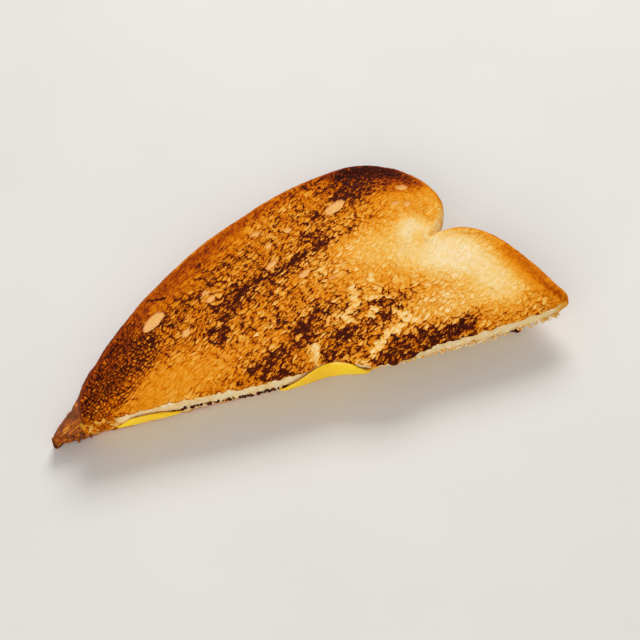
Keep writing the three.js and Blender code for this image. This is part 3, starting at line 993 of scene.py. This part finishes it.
def melted_cheese(name):
    """One warm yellow, slightly paler and oilier in soft blotches, with a low swell as bump."""
    material, tree = new_material(name)
    place = add(tree, "ShaderNodeTexCoord").outputs["Object"]
    blotch_settings = {"Vector": place, "Scale": 1 / OIL_BLOTCH, "Detail": 2.0}
    blotch = add(tree, "ShaderNodeTexNoise", blotch_settings).outputs["Fac"]
    colour = add(tree, "ShaderNodeValToRGB", {"Fac": blotch}, CHEESE_COLOURS).outputs["Color"]
    oil_settings = {"Value": blotch, "To Min": 0.12, "To Max": 0.30}
    oil = add(tree, "ShaderNodeMapRange", oil_settings).outputs["Result"]
    swell_settings = {"Vector": place, "Scale": 1 / CHEESE_SWELL, "Detail": 1.0}
    swell = add(tree, "ShaderNodeTexNoise", swell_settings).outputs["Fac"]
    bump_settings = {"Strength": 0.3, "Distance": 0.3 * MM, "Height": swell}
    bump = add(tree, "ShaderNodeBump", bump_settings).outputs["Normal"]
    shader = add(tree, "ShaderNodeBsdfPrincipled", {"Base Color": colour, "Roughness": oil, "Normal": bump})
    shader.inputs["IOR"].default_value = 1.45
    shader.inputs["Subsurface Weight"].default_value = 0.10
    shader.inputs["Subsurface Radius"].default_value = (1.0, 0.6, 0.15)
    shader.inputs["Subsurface Scale"].default_value = 2.0 * MM
    add(tree, "ShaderNodeOutputMaterial", {"Surface": shader.outputs["BSDF"]})
    print(f"{name}: {len(tree.nodes)} nodes")
    return material


cheese_finish = melted_cheese("melted processed cheese")

# %% Where the cheese shows
CHEESE_THICK = 2.8
CHEESE_TIP_Y = 3.0
CHEESE_INSET = 4.0
LEFT_LIP = 3.6
BAY_LIP = 6.3
LEAST_LIP = 0.05
LIP_THICK = 0.9
LIP_SUNK = 0.35
LEVEL_AHEAD = 0.3
RECESS = 3.4
LEFT_RECESS = 2.5


def lip_height(x):
    """How far cheese stands up in front of the crumb: low at the left, high in the bay."""
    left = LEFT_LIP * smooth(7, 14, x) * (1 - smooth(17, 31, x))
    bay = BAY_LIP * smooth(57, 72, x) * (1 - smooth(80, 90, x))
    return np.maximum(LEAST_LIP, np.maximum(left, bay))


def cheese_recess(x):
    """How far the cheese draws back under the slice, everywhere but at the two places where it shows."""
    left = LEFT_RECESS * (1 - smooth(3.5, 8, x)) * smooth(-5, -4, x)
    return left + RECESS * (smooth(28, 40, x) * (1 - smooth(52, 58, x)) + smooth(86, 93, x))


def cheese_bow(x):
    """The front where it meets the upper slice's underside: ahead of the crumb where it has a lip."""
    lipped = smooth(0.05, 0.7, lip_height(x))
    ahead = LEVEL_AHEAD + (LIP_THICK - LIP_SUNK - LEVEL_AHEAD) * lipped
    return knife_bow(x) - ahead - CHEESE_TIP_Y + cheese_recess(x)


print("lip heights at the left and in the bay", lip_height(np.array([15.5, BAY_MIDDLE])).round(2), "mm")

# %% The cheese's surface
LIP_TURN = 0.6
FOOT_BACK = 1.5


def cheese_surface(line, floor, rows):
    """Top, rounded outer edge, underside, and a lip whose front, crest and back are one rounded stroke: the
    front rises as a sine and bellies out, and the back comes down as a cosine."""
    length = line["length"]
    scale = tip_scale(length)
    middle = floor + CHEESE_THICK / 2
    low, high = middle - CHEESE_THICK / 2 * scale, middle + CHEESE_THICK / 2 * scale
    round_off = np.minimum(CHEESE_THICK / 2, ROUND_SHARE * length)
    lip = lip_height(line["cut"][:, 0]) * scale
    thick = np.minimum(LIP_THICK, 0.3 * length)

    def leaned(z, back):
        """Points at a height, some way behind the leaning crumb; below it they draw back to the foot."""
        x = line["cut"][:, :1]
        up = np.clip((z - UPPER_FLOOR) / (SLICE_THICK - EDGE_PRESS), 0, 1)
        down = np.clip((UPPER_FLOOR - z) / (UPPER_FLOOR - floor), 0, 1) ** 0.5
        lean = UPPER_LEAN * (UPPER_FLOOR + SLICE_THICK - EDGE_PRESS - z) * scale[:, None]
        y = line["cut"][:, 1:] + lean + tear(x) * up
        foot = FOOT_BACK + cheese_recess(x) + np.clip(CHEESE_TIP_Y - length[:, None], 0, None)
        y = y + (np.maximum(y, foot) - y) * down
        return np.stack([np.broadcast_to(x, z.shape), y + back, z], -1)

    t = np.linspace(0, 1, rows["top"], endpoint=False)
    behind = leaned(high[:, None], thick[:, None])[:, 0, :2]
    top = with_height(along(line, behind, t, round_off), high[:, None])
    edge = crust_side(line, round_off, low, high, np.linspace(0, 1, rows["edge"], endpoint=False))
    ahead = leaned(low[:, None], 0 * thick[:, None])[:, 0, :2]
    under = with_height(along(line, ahead, 1 - t, round_off), low[:, None])
    turn = np.linspace(0, 1, rows["lip"], endpoint=False)
    crest = (high + lip)[:, None]
    up = np.minimum(turn / LIP_TURN, 1)
    over = np.clip((turn - LIP_TURN) / (1 - LIP_TURN), 0, 1)
    rise = low[:, None] + (crest - low[:, None]) * np.sin(up * np.pi / 2) ** 0.9
    height = np.where(over > 0, crest + (high[:, None] - crest) * (1 - np.cos(over * np.pi / 2)), rise)
    back = thick[:, None] * (0.42 * up**3 + 0.58 * np.sin(over * np.pi / 2))
    belly = -(0.1 + 0.08 * lip)[:, None] * np.sin(np.pi * up) * (over == 0) * scale[:, None]
    front = leaned(height, back + belly)
    return np.concatenate([top, edge, under, front], 1)


# %% The cheese in its place
CHEESE_ROWS = {"top": 14, "edge": 8, "under": 14, "lip": 44}
CHEESE_COLUMNS = 420
CHEESE_SHIFT = (LOWER_SHIFT[0] / 2, LOWER_SHIFT[1] / 2)
cheese_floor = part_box("cheese")[0][2] / MM


def cheese_plan(s):
    """The cheese's fan: the outline half-way between the slices, drawn in from their crust."""
    return fan(s, CHEESE_SHIFT, CHEESE_INSET, CHEESE_TIP_Y, cheese_bow)


cheese_line = cheese_plan(even_columns(CHEESE_COLUMNS, cheese_plan))
cheese_grid = cheese_surface(cheese_line, cheese_floor, CHEESE_ROWS)
names, share = section_shares(CHEESE_ROWS)
x, y, z = np.moveaxis(cheese_grid, -1, 0)
swell = 0.5 * (noise(x, y, z, 6, 61) - 0.5) + 0.22 * (noise(x, y, z, 2.5, 62) - 0.5)
swell = np.where(names == "lip", swell, 0) * smooth(0, RELIEF_FADE, cheese_line["length"])[:, None]
cheese_shape = cheese_grid + swell[..., None] * ways_out(cheese_grid)
cheese_piece = closed_mesh("melted_cheese_layer", cheese_shape, PLACE, {}, cheese_finish)
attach(cheese_piece, "root")
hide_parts("cheese")

# %% [markdown]
# ## Crumbs, char and shreds
# The knife left browned lumps of crust at the left end of the cut and on the lower tip, burnt crumbs along
# the foot of the crumb and soft shreds under the right half of the cut. They could be scattered as instances;
# here each kind is one joined mesh of small rough balls, so that it is a real shape that prints and exports
# like the rest.

# %% Rough balls
BALL_RINGS = 5
BALL_SIDES = 8


def draw(count, seed, low, high):
    """Repeatable numbers between two limits, one for each crumb."""
    i = np.arange(count)
    return low + (high - low) * chance(i, 0 * i, 0 * i, seed)


def ball():
    """Points on rings of a unit ball, a point at each pole, and the triangles between them, facing out."""
    drop = np.pi * np.arange(1, BALL_RINGS + 1)[:, None] / (BALL_RINGS + 1)
    turn = 2 * np.pi * np.arange(BALL_SIDES)[None] / BALL_SIDES
    height = np.cos(drop) + 0 * turn
    rings = np.stack([np.sin(drop) * np.cos(turn), np.sin(drop) * np.sin(turn), height], -1)
    points = np.concatenate([[[0, 0, 1]], rings.reshape(-1, 3), [[0, 0, -1]]])
    j = np.arange(BALL_SIDES)
    k = (j + 1) % BALL_SIDES
    start = 1 + BALL_SIDES * np.arange(BALL_RINGS - 1)[:, None]
    a, b = start + j, start + k
    c, d = a + BALL_SIDES, b + BALL_SIDES
    sides = np.concatenate([np.stack([a, c, b], -1).reshape(-1, 3), np.stack([b, c, d], -1).reshape(-1, 3)])
    end = 1 + BALL_SIDES * (BALL_RINGS - 1)
    top = np.stack([0 * j, 1 + j, 1 + k], -1)
    bottom = np.stack([end + k, end + j, np.full_like(j, len(points) - 1)], -1)
    return points, np.concatenate([top, sides, bottom])


def crumbs(name, places, size, stretch, seed, values, material):
    """Many balls in one mesh: each is stretched, turned about the upright and roughened by chance."""
    points, faces = ball()
    count = len(size)
    i, j = np.meshgrid(np.arange(count), np.arange(len(points)), indexing="ij")
    rough = 0.7 + 0.6 * chance(i, j, 0 * i, seed)
    half_sizes = size[:, None] * np.array(stretch)
    shape = points[None] * half_sizes[:, None] * rough[..., None]
    angle = draw(count, seed + 1, 0, np.pi)[:, None]
    turned_x = shape[..., 0] * np.cos(angle) - shape[..., 1] * np.sin(angle)
    turned_y = shape[..., 0] * np.sin(angle) + shape[..., 1] * np.cos(angle)
    shape = np.stack([turned_x, turned_y, shape[..., 2]], -1) + np.stack(places, -1)[:, None]
    mesh = bpy.data.meshes.new(name)
    all_faces = faces[None] + (len(points) * np.arange(count))[:, None, None]
    mesh.from_pydata(((shape + PLACE) * MM).reshape(-1, 3).tolist(), [], all_faces.reshape(-1, 3).tolist())
    each = {key: np.repeat(np.broadcast_to(value, count), len(points)) for key, value in values.items()}
    print(f"{name}: {count} crumbs, {count * len(faces)} triangles")
    return finished_piece(name, mesh, each, material)


def crumb_face(x, z):
    """The upper slice's cut at a height: the knife's line, leaning back downwards."""
    return knife_bow(x) + UPPER_LEAN * (UPPER_FLOOR + SLICE_THICK - EDGE_PRESS - z)


def bread_values(count, seed, low, high, dusty=0.0):
    """Each crumb gets its own browning between two limits, and plain values for the rest. A dusty one is
    paler and greyer, like a crust."""
    plain = {"scorch": -0.4, "wall": 0.4, "pale": 0.0, "contrast": 0.6}
    return {"browning": draw(count, seed, low, high), **plain, "bubble": dusty}


# %% Browned lumps at the two tips
LUMPS = 90
x = draw(LUMPS, 71, -1.5, 8.5)
z = draw(LUMPS, 72, 8.5, 16.0)
y = crumb_face(x, z) + draw(LUMPS, 73, -0.4, 0.5) * smooth(-2, 2, x) + 1.2 * (1 - smooth(8.5, 11, z))
size = draw(LUMPS, 74, 0.45, 1.15)
colours = bread_values(LUMPS, 76, 0.24, 0.66)
lumps = crumbs("browned_lumps", (x, y, z), size, (1.3, 0.8, 0.8), 75, colours, bread)

TIP_LUMPS = 80
x = draw(TIP_LUMPS, 101, -10.5, 0)
z = draw(TIP_LUMPS, 102, 1.2, 7.2)
y = LOWER_CUT_Y + LOWER_LEAN * (SLICE_THICK - FOOT_TRIM - z) + draw(TIP_LUMPS, 103, -0.2, 0.5)
size = draw(TIP_LUMPS, 104, 0.4, 1.0)
colours = bread_values(TIP_LUMPS, 106, 0.50, 0.80, 0.15)
tip = crumbs("tip_lumps", (x, y, z), size, (1.3, 0.8, 0.7), 105, colours, under_bread)

# %% Char along the cut's foot, and shreds under it
CHAR_CRUMBS = 130
x = draw(CHAR_CRUMBS, 81, 24, 62)
z = UPPER_FLOOR + draw(CHAR_CRUMBS, 82, -0.1, 1.3) ** 2 * 0.6
y = crumb_face(x, z) - 0.05
size = draw(CHAR_CRUMBS, 83, 0.3, 0.62) ** 2
colours = bread_values(CHAR_CRUMBS, 85, 0.74, 0.99)
char = crumbs("char_crumbs", (x, y, z), size, (1.9, 1.0, 1.0), 84, colours, bread)

SHREDS = 150
x = draw(SHREDS, 91, 88, 151)
z = UPPER_FLOOR + draw(SHREDS, 92, -0.7, 1.0)
y = crumb_face(x, z) + draw(SHREDS, 93, -0.1, 0.5)
size = draw(SHREDS, 94, 0.25, 0.7)
colours = bread_values(SHREDS, 96, 0.06, 0.30)
shreds = crumbs("crumb_shreds", (x, y, z), size, (1.6, 0.6, 0.7), 95, colours, bread)

for piece, slot in [
    (lumps, "toasted_bread"),
    (tip, "toasted_bread_under"),
    (char, "toasted_bread"),
    (shreds, "toasted_bread"),
]:
    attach(piece, "root")

# %% [markdown]
# ## Floor, light and camera
# A pale board takes the place of the paper it lies on. One large soft lamp stands behind and to the right,
# as a window would, and a weaker one fills from the front left, so the cut is shaded but not dark.

# %% The floor
BOARD_COLOURS = [(0.3, "#dbd7d1"), (0.7, "#dfdbd5")]
FLOOR_HALF = 2.5


def pale_board(name):
    """Matt off-white paint with a very faint mottle."""
    material, tree = new_material(name)
    place = add(tree, "ShaderNodeTexCoord").outputs["Object"]
    mottle = add(tree, "ShaderNodeTexNoise", {"Vector": place, "Scale": 12.0, "Detail": 3.0}).outputs["Fac"]
    colour = add(tree, "ShaderNodeValToRGB", {"Fac": mottle}, BOARD_COLOURS).outputs["Color"]
    shader = add(tree, "ShaderNodeBsdfPrincipled", {"Base Color": colour, "Roughness": 0.7})
    add(tree, "ShaderNodeOutputMaterial", {"Surface": shader.outputs["BSDF"]})
    return material


floor_mesh = bpy.data.meshes.new("floor")
floor_corners = FLOOR_HALF * np.array([(-1, -1, 0), (1, -1, 0), (1, 1, 0), (-1, 1, 0)])
floor_mesh.from_pydata(floor_corners.tolist(), [], [(0, 1, 2, 3)])
floor_mesh.materials.append(pale_board("pale matt board"))
floor = bpy.data.objects.new("floor", floor_mesh)
bpy.context.collection.objects.link(floor)
print("floor", 2 * FLOOR_HALF, "m square")

# %% Lamps and surroundings
ROOM_COLOUR = "#f4f6fa"
ROOM_STRENGTH = 0.42


def soft_lamp(name, place, size, power):
    """A square area lamp turned towards the middle of the floor."""
    data = bpy.data.lights.new(name, "AREA")
    data.size = size
    data.energy = power
    lamp = bpy.data.objects.new(name, data)
    lamp.location = place
    lamp.rotation_euler = (-Vector(place)).to_track_quat("-Z", "Y").to_euler()
    bpy.context.collection.objects.link(lamp)
    print(f"{name}: {power} W, {Vector(place).length:.2f} m away")


soft_lamp("window", place=(0.28, 0.62, 0.75), size=0.55, power=6.9)
soft_lamp("fill", place=(-0.35, -0.65, 0.5), size=0.7, power=3.8)
world = bpy.data.worlds.new("room")
world.use_nodes = True
background = world.node_tree.nodes["Background"]
background.inputs["Color"].default_value = linear(ROOM_COLOUR)
background.inputs["Strength"].default_value = ROOM_STRENGTH
bpy.context.scene.world = world
bpy.context.scene.view_settings.view_transform = "Standard"

# %% The camera
AZIMUTH = math.radians(-13.26)
ELEVATION = math.radians(51.29)
ROLL = math.radians(-3.53)
DISTANCE = 554.73 * MM
LOOKED_AT = np.array([80.19, 28.0, 0.9])
TARGET = Vector(PLACE + LOOKED_AT) * MM
LENS = 96.44
SENSOR = 36

level_back = Vector((math.sin(AZIMUTH), -math.cos(AZIMUTH), 0))
back = level_back * math.cos(ELEVATION) + Vector((0, 0, math.sin(ELEVATION)))
right = Vector((math.cos(AZIMUTH), math.sin(AZIMUTH), 0))
up = back.cross(right)
right_rolled = right * math.cos(ROLL) + up * math.sin(ROLL)
up_rolled = up * math.cos(ROLL) - right * math.sin(ROLL)
camera_data = bpy.data.cameras.new("camera")
camera_data.lens = LENS
camera_data.sensor_width = SENSOR
camera = bpy.data.objects.new("camera", camera_data)
turn = Matrix((right_rolled, up_rolled, back)).transposed().to_4x4()
camera.matrix_world = Matrix.Translation(TARGET + back * DISTANCE) @ turn
bpy.context.collection.objects.link(camera)
bpy.context.scene.camera = camera
print("camera at", [round(part, 3) for part in camera.matrix_world.translation], "m")
